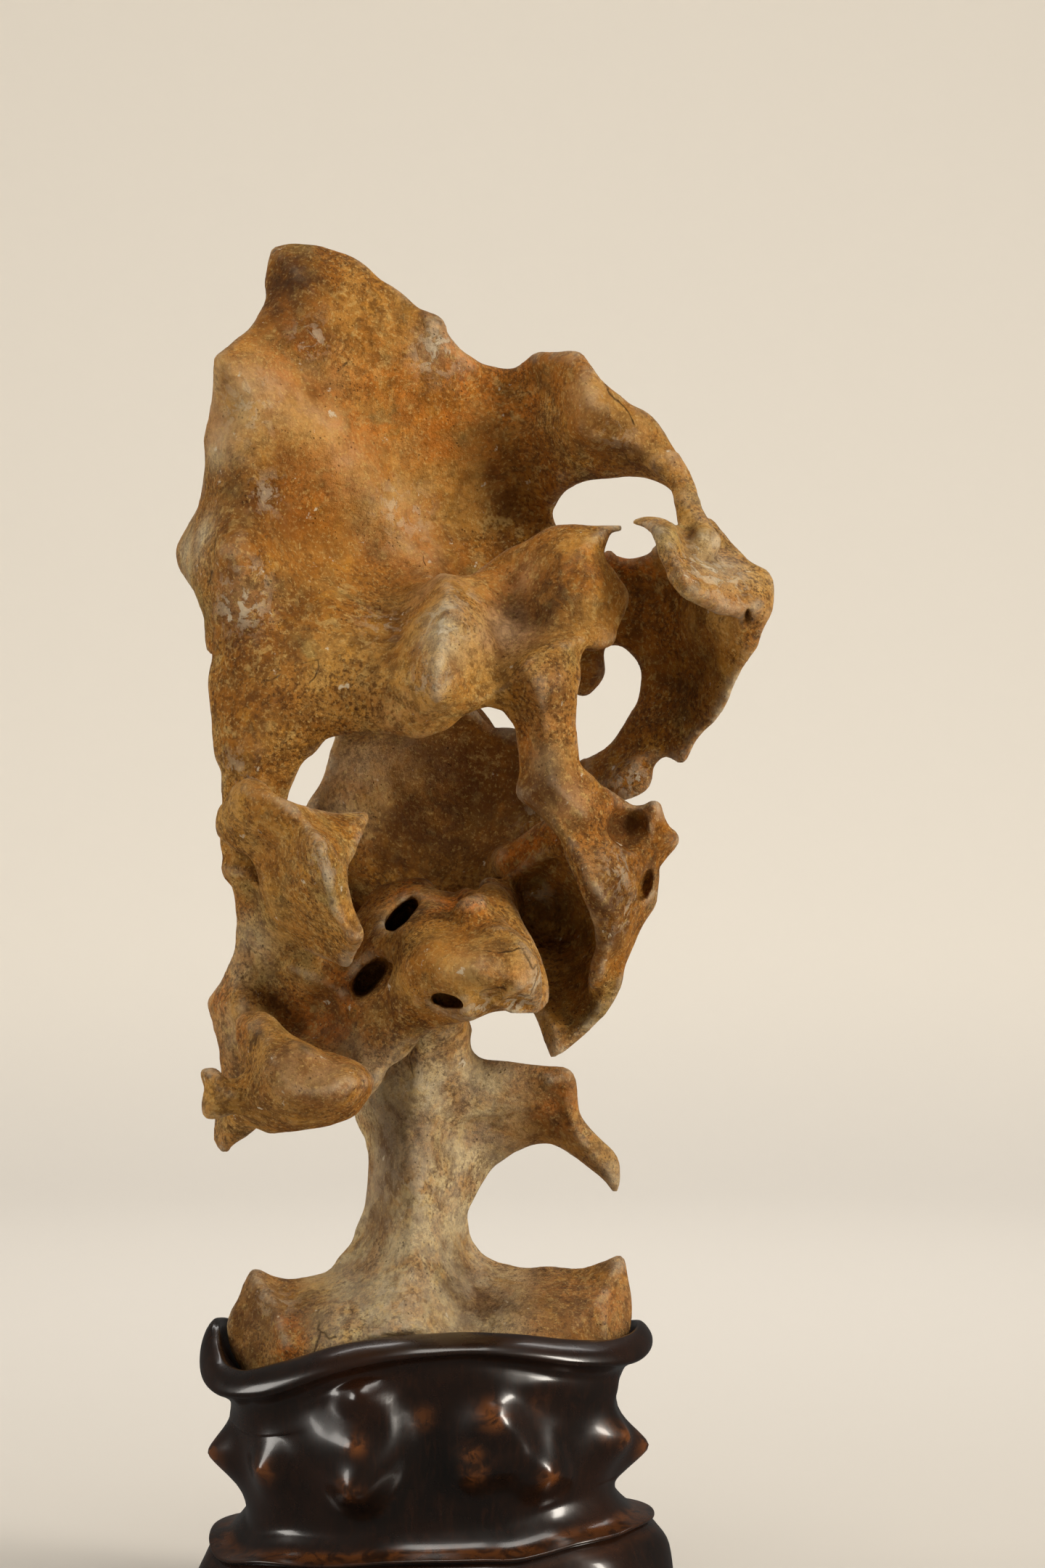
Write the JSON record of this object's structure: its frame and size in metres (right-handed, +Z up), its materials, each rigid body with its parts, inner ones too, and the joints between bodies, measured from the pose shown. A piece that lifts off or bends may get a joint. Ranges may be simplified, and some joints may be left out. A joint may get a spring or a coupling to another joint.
{
  "type": "scholars rock",
  "caption": "Tall eroded scholars rock full of arches, hollows and fins, standing on a narrow neck in a dark carved hardwood stand",
  "frame": {"origin": "middle of the bounding box, at the stand's flat underside", "axes": "+Z up along the rock, +X to the viewer's right in the picture, +Y away from the viewer"},
  "size_m": [0.2448, 0.172, 0.5803],
  "materials": {
    "stone": "dry weathered stone, ochre and grey, dull with slightly worn edges",
    "stand_wood": "near-black polished hardwood, satin gloss, reddish brown where worn"
  },
  "bodies": {
    "root": {"rock": "stone", "stand_collar": "stand_wood", "stand_base": "stand_wood"}
  },
  "joints": []
}
